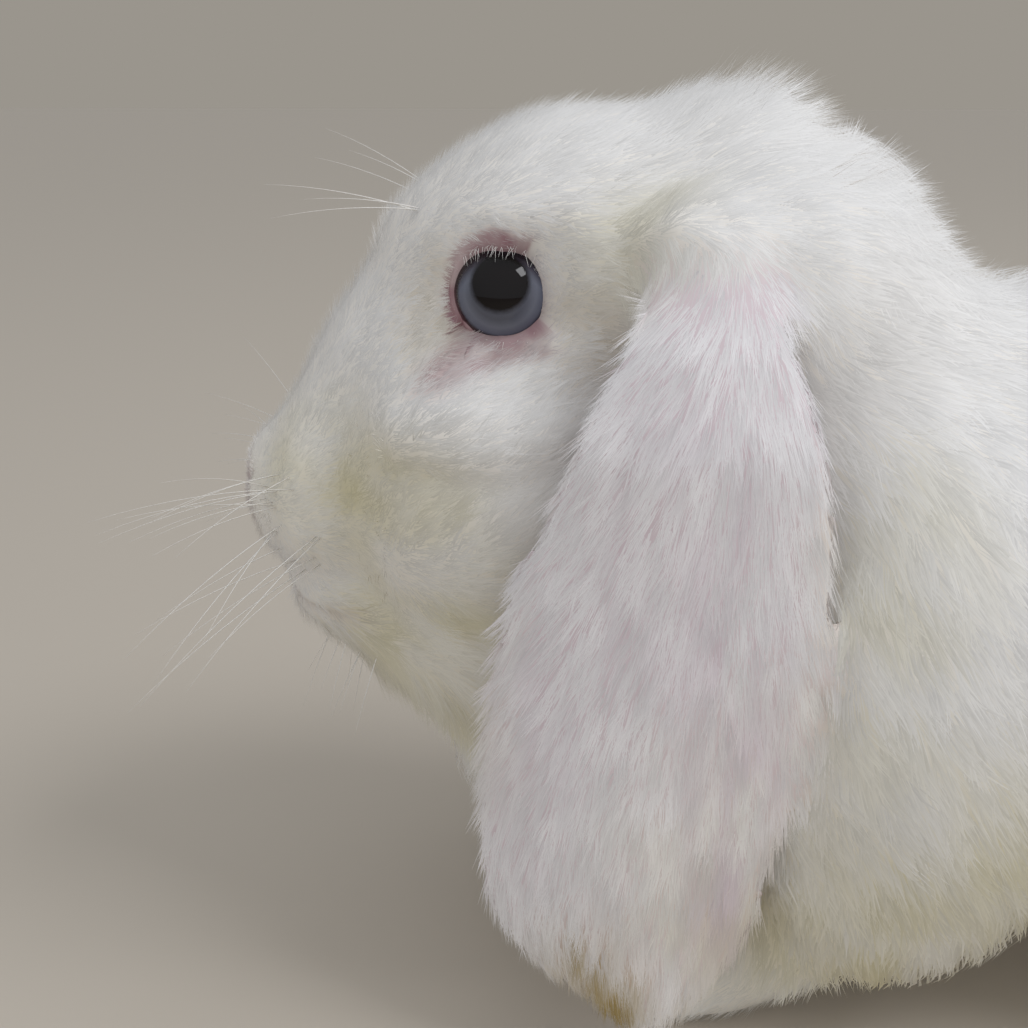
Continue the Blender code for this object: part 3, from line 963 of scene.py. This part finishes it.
def thinned(roots, triangles_each):
    """Drops tufts at random so that a piece stays under its number of triangles."""
    most = MOST_TRIANGLES // triangles_each
    count = len(roots["width"])
    if count <= most:
        return roots
    print("  thinned from", count, "to", most)
    keep = np.sort(rng.choice(count, most, replace=False))
    return {key: values[keep] for key, values in roots.items()}


# %% Short fur
def short_coat(name, where, lift=(0.15, 0.95), clump=7, lean=0.35, sway=0.14,
               crowd=face_density, size=None):
    """Straight tufts that rise from the skin to a share of the coat's depth.

    The shares lie between two lifts. A clump of about so many tufts leans together, and
    their lie sways about the skin's by so many radians."""
    roots = thinned(grow_roots(where, crowd, size), 4)
    count = len(roots["width"])
    middle = clumps(roots["root"], clump)
    # A clump sways together, and each of its tufts a little more or less.
    swing = rng.normal(0, sway, count)
    lie = turned(roots["lie"], roots["up"], swing[middle] * 1.2 + swing * 0.8)
    long = roots["length"] * rng.uniform(0.7, 1.15, count)
    high = roots["depth"] * (lift[0] + (lift[1] - lift[0]) * rng.random(count) ** 1.4)
    run = np.sqrt(np.maximum(long ** 2 - high ** 2, (0.3 * long) ** 2))
    tip = roots["root"] + lie * run[:, None] + roots["up"] * high[:, None]
    tip += (tip[middle] - tip) * (lean * rng.uniform(0.5, 1.0, count))[:, None]
    # The base is sunk, so that no gap shows under a tuft where the skin is round.
    base = roots["root"] - roots["up"] * np.minimum(0.35, 0.2 * roots["depth"])[:, None]
    width = roots["width"] * rng.uniform(0.7, 1.3, count)
    tuft_mesh(name, [base, tip], [roots["up"]] * 2, width, roots, True)


HALVES = (("_left", left_half), ("_right", ~left_half))
for end, half in HALVES:
    short_coat("coat_head" + end, on_head & half)
for end, half in HALVES:
    short_coat("coat_ear" + end, on_ear & half, lift=(0.1, 0.8), clump=9, lean=0.3, sway=0.09)
short_coat("coat_feet", low_legs)

# %% Long fur
body_faces = skin_faces[~on_ear]
body_tree = BVHTree.FromPolygons(skin.tolist(), body_faces.tolist())


def settle(places):
    """The nearest place on the body for each point, with the skin's normal and lie there."""
    ground = np.empty_like(places)
    corner = np.empty(len(places), int)
    for i, place in enumerate(places.tolist()):
        spot_there, _, face_there, _ = body_tree.find_nearest(place)
        ground[i] = spot_there
        corner[i] = face_there
    corners = body_faces[corner]
    return ground, unit(outward[corners].mean(axis=1)), unit(field[corners].mean(axis=1))


def long_coat(name, where, clump=16, lean=0.2, sway=0.10, steps=2):
    """Locks whose points are found step by step along the skin, each with a curl of its clump."""
    roots = thinned(grow_roots(where, face_density, None), 6 * (steps - 1))
    count = len(roots["width"])
    middle = clumps(roots["root"], clump)
    swing = rng.normal(0, sway, count)
    angle = swing[middle] * 1.3 + swing * 0.6
    curl = rng.normal(0, sway, count)[middle] * 1.2
    long = roots["length"] * rng.uniform(0.65, 1.12, count)
    high = roots["depth"] * (0.1 + 0.9 * rng.random(count) ** 1.8)
    ground, up, lie = roots["root"], roots["up"], roots["lie"]
    spine, ups = [ground - up * 0.6], [up]
    for k in range(1, steps + 1):
        ahead = turned(lie, up, angle + curl * (k - 1))
        ground, up, lie = settle(ground + ahead * (long / steps)[:, None])
        rise = (high * math.sin(math.pi / 2 * (k / steps) ** 0.8))[:, None]
        spine.append(ground + up * rise)
        ups.append(up)
    for k in range(1, steps + 1):
        pull = (lean * (k / steps) ** 1.5 * rng.uniform(0.4, 1.0, count))[:, None]
        near = np.linalg.norm(spine[k][middle] - spine[k], axis=1, keepdims=True) < 9
        spine[k] = spine[k] + (spine[k][middle] - spine[k]) * pull * near
    width = roots["width"] * rng.uniform(0.7, 1.3, count)
    tuft_mesh(name, spine, ups, width, roots, False)


# Loose hair stands up from the nape and the crown, over the coat that lies there.
standing = zone(skin, (0, -46, 156), (28, 30, 24)) + zone(skin, (0, -72, 168), (22, 12, 12))
standing = np.clip(standing, 0, 1) * (1 - ear_here)
crowd = 2.2 * standing[skin_faces].mean(axis=1)
short_coat("coat_nape", crowd > 0.1, lift=(0.4, 1.0), clump=16, lean=0.55, sway=0.3,
           crowd=crowd, size=(8.4, 11.0, 0.25))
for part, where in (("neck", on_neck), ("trunk", on_trunk)):
    for end, half in HALVES:
        long_coat("coat_" + part + end, where & half)
print("coat triangles:", sum(len(made.data.polygons) for made in coat_objects))

# %% [markdown]
# ## Materials
# One function turns an sRGB hex colour into the linear colour that a shader needs, and one
# adds a node with its settings and links.

# %% Colours and nodes
def linear(hex_colour):
    """The linear colour of an sRGB hex value."""
    parts = [int(hex_colour[i:i + 2], 16) / 255 for i in (1, 3, 5)]
    return tuple(p / 12.92 if p <= 0.04045 else ((p + 0.055) / 1.055) ** 2.4
                 for p in parts) + (1.0,)


def node(tree, kind, inputs=None, **settings):
    """Adds a node, sets it up, and fills its inputs with values or with links."""
    made = tree.nodes.new(kind)
    for name, value in settings.items():
        setattr(made, name, value)
    for key, value in (inputs or {}).items():
        if isinstance(value, bpy.types.NodeSocket):
            tree.links.new(value, made.inputs[key])
        else:
            made.inputs[key].default_value = value
    return made


def new_material(name):
    material = bpy.data.materials.new(name)
    material.use_nodes = True
    material.node_tree.nodes.clear()
    return material, material.node_tree


def finish_material(tree, shader):
    node(tree, "ShaderNodeOutputMaterial", {"Surface": shader.outputs[0]})


def attribute(tree, name):
    return node(tree, "ShaderNodeAttribute", attribute_name=name).outputs["Vector"]


def mixed(tree, share, first, second, blend="MIX"):
    """Two colours mixed by a share that is a number or a socket."""
    made = node(tree, "ShaderNodeMix", {0: share, 6: first, 7: second},
                data_type="RGBA", blend_type=blend)
    return made.outputs[2]


# %% [markdown]
# Rabbit fur is fine, hollow and matt. White hairs have no pigment, so light goes in and out
# of many of them and the coat looks brightest at its tips and warmer where it is deep. That
# is painted here as shade, with a darker colour for the root and a lighter one for the tip,
# and each tuft has a fresh tone of its own. A white hair lets light through, so the tufts
# throw no shadow on one another, and light on its way between the skin and the room passes
# them by. The colour markings and their painted shade lie over the coat, broken up in
# patches of 3 to 15 millimetres.

# %% Markings for skin and coat
# Cream of grooming, which also stands as painted shade and painted warm bounce light; mauve of
# skin under thin fur; and the yellow-brown of a stain, which around the eye is painted shade.
TINGES_AND_SHADE = (("X", "#d3cba4"), ("Y", "#cbb9c4"), ("Z", "#a8925c"))
BARE_SKIN = "#9a737b"
TIP_FLUSH = 0.5  # share of the skin's flush that a tuft still shows at its tip


def marked_fur(tree, root_colour, tip_colour, darkest, flush_left):
    """Fur from root to tip, with the markings over it and a tone of its own for each tuft.

    Skin's flush shows through a hair less and less towards its tip, down to a share."""
    hair = node(tree, "ShaderNodeSeparateXYZ", {"Vector": attribute(tree, "hair")}).outputs
    tinges_and_shade = node(tree, "ShaderNodeSeparateXYZ", {"Vector": attribute(tree, "tinges_and_shade")}).outputs
    # Painted shade: the root colour is darker than the tip's, for the shade deep in the coat.
    colour = mixed(tree, hair["X"], linear(root_colour), linear(tip_colour))
    for axis, tinge in TINGES_AND_SHADE:
        colour = mixed(tree, tinges_and_shade[axis], colour, linear(tinge))
    through = node(tree, "ShaderNodeMapRange", {"Value": hair["X"], "To Min": 1.0,
                                                "To Max": flush_left}).outputs[0]
    flush_here = node(tree, "ShaderNodeMath", {0: hair["Z"], 1: through}, operation="MULTIPLY")
    colour = mixed(tree, flush_here.outputs[0], colour, linear(BARE_SKIN))
    shade = node(tree, "ShaderNodeMapRange", {"Value": hair["Y"], "To Min": darkest})
    return node(tree, "ShaderNodeVectorMath", {0: colour, "Scale": shade.outputs[0]},
                operation="SCALE").outputs[0]


def fur_material(name, root_colour, tip_colour, darkest):
    """Matt fur: fine scattered hairs show no gloss of their own, so it has no highlight."""
    material, tree = new_material(name)
    finish_material(tree, node(tree, "ShaderNodeBsdfPrincipled", {
        "Base Color": marked_fur(tree, root_colour, tip_colour, darkest, TIP_FLUSH),
        "Roughness": 0.62, "IOR": 1.45, "Specular IOR Level": 0.0}))
    return material


# The roots are painted shade of the deep coat; the ear's root is also mauve where its skin shows
# through.
WHITE_FUR = fur_material("white rabbit fur", "#e4e2df", "#f5f4f3", 0.80)
EAR_FUR = fur_material("white ear fur over mauve skin", "#e0dadd", "#f6f5f6", 0.74)

for made in coat_objects:
    made.visible_shadow = made.visible_diffuse = False
    on_an_ear = "ear" in made.name
    made.data.materials.append(EAR_FUR if on_an_ear else WHITE_FUR)
    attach(made, "root")

# %% Skin material
def skin_material():
    """Skin under fur: as pale and matt as the coat, and moist where it is bare."""
    material, tree = new_material("rabbit skin under short fur")
    hair = node(tree, "ShaderNodeSeparateXYZ", {"Vector": attribute(tree, "hair")}).outputs
    wet = node(tree, "ShaderNodeMapRange", {"Value": hair["Z"], "To Min": 0.7, "To Max": 0.5})
    finish_material(tree, node(tree, "ShaderNodeBsdfPrincipled", {
        "Base Color": marked_fur(tree, "#d9cbd0", "#eeeae4", 0.94, 1.0),
        "Roughness": wet.outputs[0], "IOR": 1.4}))
    return material


skin_object.data.materials.append(skin_material())
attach(skin_object, "root")
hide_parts(*FLESH_NODES)

# %% [markdown]
# ## Eyes
# The eyeball is a sphere with the clear cornea bulging slightly at its front. The iris is
# blue-grey with fine fibres that run in to a large, almost black pupil, and a dark ring
# where it meets the white. A wet clear layer over it all carries the window's reflection.

# %% Eyeballs
IRIS_RADIUS, PUPIL_RADIUS, PUPIL_RISE = 9.1, 4.9, 0.17
RAMP_REACH = 14.0  # mm over the ball at the end of each ring of colours
PARTED = 0.2  # mm between the ball and the lids


def eyeball(name, side):
    """A ball with its pole on the line of sight, swollen there to a cornea."""
    made = bmesh.new()
    bmesh.ops.create_uvsphere(made, u_segments=96, v_segments=64, radius=1)
    points = np.array([v.co[:] for v in made.verts])
    faces = [[v.index for v in f.verts] for f in made.faces]
    made.free()
    bulge = 0.45 * step(math.cos(1.05), 1.0, points[:, 2])
    points = points * (EYE_RADIUS - PARTED + bulge)[:, None]
    gaze = Vector(GAZE * (side, 1, 1))
    turn = np.array(gaze.to_track_quat("Z", "Y").to_matrix())
    points = points @ turn.T + EYE_CENTRE * (side, 1, 1)
    mesh = bpy.data.meshes.new(name)
    mesh.from_pydata((points * MM).tolist(), [], faces)
    mesh.shade_smooth()
    made = bpy.data.objects.new(name, mesh)
    bpy.context.scene.collection.objects.link(made)
    return made


def eye_material(name, side):
    """A ball coloured by the angle from the line of sight, through stops set in millimetres."""
    material, tree = new_material(name)
    place = node(tree, "ShaderNodeTexCoord").outputs["Object"]
    centre = tuple(EYE_CENTRE * (side, 1, 1) * MM)
    ray = node(tree, "ShaderNodeVectorMath", {0: place, 1: centre},
               operation="SUBTRACT").outputs[0]
    ray = node(tree, "ShaderNodeVectorMath", {0: ray}, operation="NORMALIZE").outputs[0]
    fibre_place = node(tree, "ShaderNodeVectorMath", {0: ray, 1: (9, 9, 9)},
                       operation="MULTIPLY").outputs[0]
    fibres = node(tree, "ShaderNodeTexNoise", {
        "Vector": fibre_place, "Scale": 1.6, "Detail": 6.0, "Roughness": 0.7}).outputs["Fac"]
    shift = node(tree, "ShaderNodeMapRange", {
        "Value": fibres, "To Min": -0.25, "To Max": 0.25}).outputs[0]

    def rings(axis, stops):
        """A colour by the distance in mm over the ball from an axis, through stops."""
        facing = node(tree, "ShaderNodeVectorMath", {0: ray, 1: tuple(unit(axis) * (side, 1, 1))},
                      operation="DOT_PRODUCT").outputs["Value"]
        angle = node(tree, "ShaderNodeMath", {0: facing}, operation="ARCCOSINE").outputs[0]
        out = node(tree, "ShaderNodeMath", {0: angle, 1: EYE_RADIUS, 2: shift},
                   operation="MULTIPLY_ADD").outputs[0]
        scaled = node(tree, "ShaderNodeMath", {0: out, 1: RAMP_REACH}, operation="DIVIDE")
        ramp = node(tree, "ShaderNodeValToRGB", {0: scaled.outputs[0]})
        band = ramp.color_ramp
        while len(band.elements) < len(stops):
            band.elements.new(0.5)
        for element, (reach, colour) in zip(band.elements, stops):
            element.position, element.color = reach / RAMP_REACH, linear(colour)
        return ramp.outputs[0]

    iris = rings(GAZE, [
        (PUPIL_RADIUS - 0.2, "#595b66"), (PUPIL_RADIUS + 1.4, "#6f7381"),
        (IRIS_RADIUS - 1.2, "#63687a"), (IRIS_RADIUS - 0.2, "#251a20"),
        (IRIS_RADIUS + 0.5, "#4a3238"), (11.5, "#9c7a78")])
    pupil = rings(GAZE + PUPIL_RISE * LID_UP, [
        (PUPIL_RADIUS - 0.5, "#000000"), (PUPIL_RADIUS + 0.5, "#ffffff")])
    colour = mixed(tree, pupil, linear("#0d0708"), iris)
    # Painted shade: the top of the ball is darkened where the upper lid and its lashes keep light
    # off it.
    shade = rings(0.75 * GAZE - 0.66 * LID_UP, [
        (9.6, "#ffffff"), (11.6, "#93858a"), (12.8, "#4a3a3e")])
    colour = mixed(tree, 1.0, colour, shade, "MULTIPLY")
    finish_material(tree, node(tree, "ShaderNodeBsdfPrincipled", {
        "Base Color": colour, "Roughness": 0.25, "Specular IOR Level": 0.0,
        "Coat Weight": 1.0, "Coat Roughness": 0.03, "Coat IOR": 1.336}))
    return material


for side, end in ((1, "left"), (-1, "right")):
    ball_made = eyeball("eyeball_" + end, side)
    ball_made.data.materials.append(eye_material("wet rabbit eye " + end, side))
    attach(ball_made, "root")
    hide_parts("eye_" + end)

# %% [markdown]
# ## Floor, light and air
# A pale floor and a grey room. The main light is as soft as a window and comes from high
# behind the left shoulder, which whitens the crown and the nape. The air of the room lights
# the rest from all round, most from above on the left side, so the shade stays open.

# %% Floor and lights
def area_light(name, place, aim, size, watts, colour):
    """A soft rectangular light, placed and aimed in metres."""
    data = bpy.data.lights.new(name, "AREA")
    data.shape, data.size, data.size_y = "RECTANGLE", size[0], size[1]
    data.energy, data.color = watts, linear(colour)[:3]
    made = bpy.data.objects.new(name, data)
    made.location = place
    made.rotation_mode = "QUATERNION"
    made.rotation_quaternion = (Vector(aim) - Vector(place)).to_track_quat("-Z", "Y")
    bpy.context.scene.collection.objects.link(made)


FLOOR = 4.0  # metres to each side
floor_mesh = bpy.data.meshes.new("floor")
floor_mesh.from_pydata([(x * FLOOR, y * FLOOR, 0) for x, y in ((-1, -1), (1, -1), (1, 1), (-1, 1))],
                       [], [(0, 1, 2, 3)])
floor = bpy.data.objects.new("floor", floor_mesh)
bpy.context.scene.collection.objects.link(floor)
floor_paint, floor_tree = new_material("pale painted floor")
finish_material(floor_tree, node(floor_tree, "ShaderNodeBsdfPrincipled", {
    "Base Color": linear("#c6bdb0"), "Roughness": 0.8}))
floor_mesh.materials.append(floor_paint)

HEAD_PLACE = (0, -0.1, 0.11)
area_light("window", (0.30, 0.50, 0.92), aim=HEAD_PLACE, size=(0.46, 0.32), watts=4.2,
           colour="#fbfcff")

# %% Air of the room
BRIGHTEST = unit(np.array((0.75, 0.0, 0.72)))
world = bpy.data.worlds.new("room air")
world.use_nodes = True
air = world.node_tree
air.nodes.clear()
look = node(air, "ShaderNodeTexCoord").outputs["Generated"]
sky = node(air, "ShaderNodeVectorMath", {0: look, 1: tuple(BRIGHTEST)},
           operation="DOT_PRODUCT").outputs["Value"]
glow = node(air, "ShaderNodeMapRange", {
    "Value": sky, "From Min": -0.6, "From Max": 1.0, "To Min": 0.28, "To Max": 0.80,
    }, interpolation_type="SMOOTHSTEP").outputs[0]
lit = node(air, "ShaderNodeBackground", {"Color": linear("#f1f3f6"), "Strength": glow})
seen = node(air, "ShaderNodeBackground", {"Color": linear("#9a958d"), "Strength": 1.0})
first = node(air, "ShaderNodeLightPath").outputs["Is Camera Ray"]
both = node(air, "ShaderNodeMixShader", {0: first, 1: lit.outputs[0], 2: seen.outputs[0]})
node(air, "ShaderNodeOutputWorld", {"Surface": both.outputs[0]})
bpy.context.scene.world = world
bpy.context.scene.view_settings.view_transform = "Standard"

# %% [markdown]
# ## Whiskers and lashes
# Whiskers are single stiff hairs, far thicker than the coat's, in rows on the muzzle, over
# the eye and on the chin. Each is a thin tapering tube that bends under its weight. Lashes
# are made the same way, short and dense on the upper lid and few on the lower one.

# %% Whiskers
THIRDS = (0, 2 * math.pi / 3, 4 * math.pi / 3)


def bristles(name, roots, directions, lengths, thick, droop):
    """Curved tapering hairs as closed tubes with three sides."""
    steps, count = 8, len(roots)
    rings = []
    for k in range(steps + 1):
        share = k / steps
        place = roots + directions * (lengths * share)[:, None]
        place[:, 2] -= droop * lengths * share ** 2
        place[:, 2] = np.maximum(place[:, 2], 0.3)
        rings.append(place)
    points = []
    for k, place in enumerate(rings):
        ahead = unit(rings[min(k + 1, steps)] - rings[max(k - 1, 0)])
        across = unit(np.cross(ahead, (0.2, 0.3, 0.93)))
        upward = np.cross(across, ahead)
        radius = thick / 2 * (1 - 0.85 * k / steps)
        for turn in THIRDS:
            points.append(place + (across * math.cos(turn) + upward * math.sin(turn)) * radius)
    per_hair = len(points)
    points = np.stack(points, axis=1).reshape(-1, 3)
    one = [(2, 1, 0), (per_hair - 3, per_hair - 2, per_hair - 1)]
    for k in range(steps):
        for a, b in ((0, 1), (1, 2), (2, 0)):
            low, high = 3 * k, 3 * k + 3
            one += [(low + a, low + b, high + b), (low + a, high + b, high + a)]
    faces = np.array(one)[None] + np.arange(count)[:, None, None] * per_hair
    print(name, count, "hairs")
    return object_of(name, points, faces.reshape(-1, 3))


# Where, how far they spread, which way they point, how much that varies, length, how many.
WHISKERS = {
    "upper rows": ((13, -157, 96), (4, 5, 4), (0.75, -0.62, 0.16), 0.16, (26, 44), 11),
    "lower rows": ((13, -155, 87), (4, 6, 4), (0.75, -0.55, -0.22), 0.16, (22, 42), 10),
    "brow": ((13, -134, 148), (2, 3, 2), (0.35, -0.85, 0.35), 0.12, (18, 30), 3),
    "chin": ((8, -146, 66), (5, 6, 2), (0.25, -0.25, -0.9), 0.16, (10, 20), 6),
}
skin_tree = BVHTree.FromPolygons(skin.tolist(), skin_faces.tolist())


def on_skin(places):
    """The nearest place on the skin for each point."""
    return np.array([skin_tree.find_nearest(place)[0][:] for place in places.tolist()])


roots, directions, lengths = [], [], []
for centre, spread, way, vary, (shortest, longest), count in WHISKERS.values():
    for side in (1, -1):
        places = np.array(centre) + rng.uniform(-1, 1, (count, 3)) * spread
        roots.append(on_skin(places * (side, 1, 1)))
        ways = unit(np.array(way) + rng.normal(0, vary, (count, 3))) * (side, 1, 1)
        directions.append(ways)
        lengths.append(rng.uniform(shortest, longest, count))
roots, directions, lengths = map(np.concatenate, (roots, directions, lengths))
# No whisker reaches further forward or sideways than this.
FOREMOST, WIDEST = -182.0, 94.0
room = np.where(directions[:, 1] < 0, (FOREMOST - roots[:, 1]) / directions[:, 1], 99)
room = np.minimum(room, (WIDEST - np.abs(roots[:, 0])) / np.abs(directions[:, 0]))
whiskers = bristles("whiskers", roots, directions, np.minimum(lengths, room),
                    thick=0.26, droop=0.14)

# %% Lashes
def on_lid(side, angle, beyond, height):
    """Places on the eye's map, that far outside the opening, at a height over the ball."""
    turn = (opening_at(angle) + beyond) / EYE_RADIUS
    flat = np.cos(angle)[:, None] * LID_FRONT + np.sin(angle)[:, None] * LID_UP
    towards = np.cos(turn)[:, None] * GAZE + np.sin(turn)[:, None] * flat
    return (EYE_CENTRE + towards * (EYE_RADIUS + height)) * (side, 1, 1), flat * (side, 1, 1)


# Each row: from which angle to which, how many, how long, and how far they turn outwards.
LASHES = ((0.7, 2.6, 44, 3.0, -0.25), (-2.6, -1.0, 16, 1.6, 0.3))
lash_sets = []
for side in (1, -1):
    for start, stop, count, long, out in LASHES:
        angle = np.linspace(start, stop, count) + rng.normal(0, 0.05, count)
        places, away = on_lid(side, angle, rng.uniform(0.1, 0.9, count), 0.55)
        ways = unit(GAZE * (side, 1, 1) + out * away + rng.normal(0, 0.3, (count, 3)))
        lash_sets.append((places, ways, long * rng.uniform(0.6, 1.2, count)))
lashes = bristles("lashes", *map(np.concatenate, zip(*lash_sets)), thick=0.14, droop=0.35)

# Keratin is smooth and dense, so a thick hair has a clear gloss that the coat hasn't.
hair_white, hair_tree = new_material("white whisker keratin")
finish_material(hair_tree, node(hair_tree, "ShaderNodeBsdfPrincipled", {
    "Base Color": linear("#f6f4f0"), "Roughness": 0.35, "IOR": 1.55}))
for made in (whiskers, lashes):
    made.data.materials.append(hair_white)
    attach(made, "root")

# %% [markdown]
# ## Claws
# A white rabbit's claws are pale horn, smooth and half glossy. The cut solids are rounded
# by subdivision and shortened towards their roots, so that only their tips leave the fur.

# %% Claws
CLAW_SHOWN = 0.74


def rounded(points, faces):
    """The shape with its corners rounded off by subdivision."""
    scratch = object_of("scratch", points, faces)
    smooth = scratch.modifiers.new("smooth", "SUBSURF")
    smooth.levels = 2
    mesh = scratch.evaluated_get(bpy.context.evaluated_depsgraph_get()).to_mesh()
    made = arrays_of(mesh)
    bpy.data.objects.remove(scratch)
    return made


def in_fur(points, faces):
    """A claw drawn back towards its root, as the toe's fur stands round it."""
    root = points[points[:, 1] > points[:, 1].max() - 1].mean(axis=0)
    return root + (points - root) * (1, CLAW_SHOWN, 1), faces


claws = object_of("claws", *joined(
    [in_fur(*rounded(*arrays_of(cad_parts[name].data))) for name in CLAW_NODES]))
horn, horn_tree = new_material("pale rabbit claw horn")
finish_material(horn_tree, node(horn_tree, "ShaderNodeBsdfPrincipled", {
    "Base Color": linear("#d3bfae"), "Roughness": 0.35, "IOR": 1.54}))
claws.data.materials.append(horn)
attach(claws, "root")
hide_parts(*CLAW_NODES)
print("claws:", len(claws.data.polygons), "triangles")
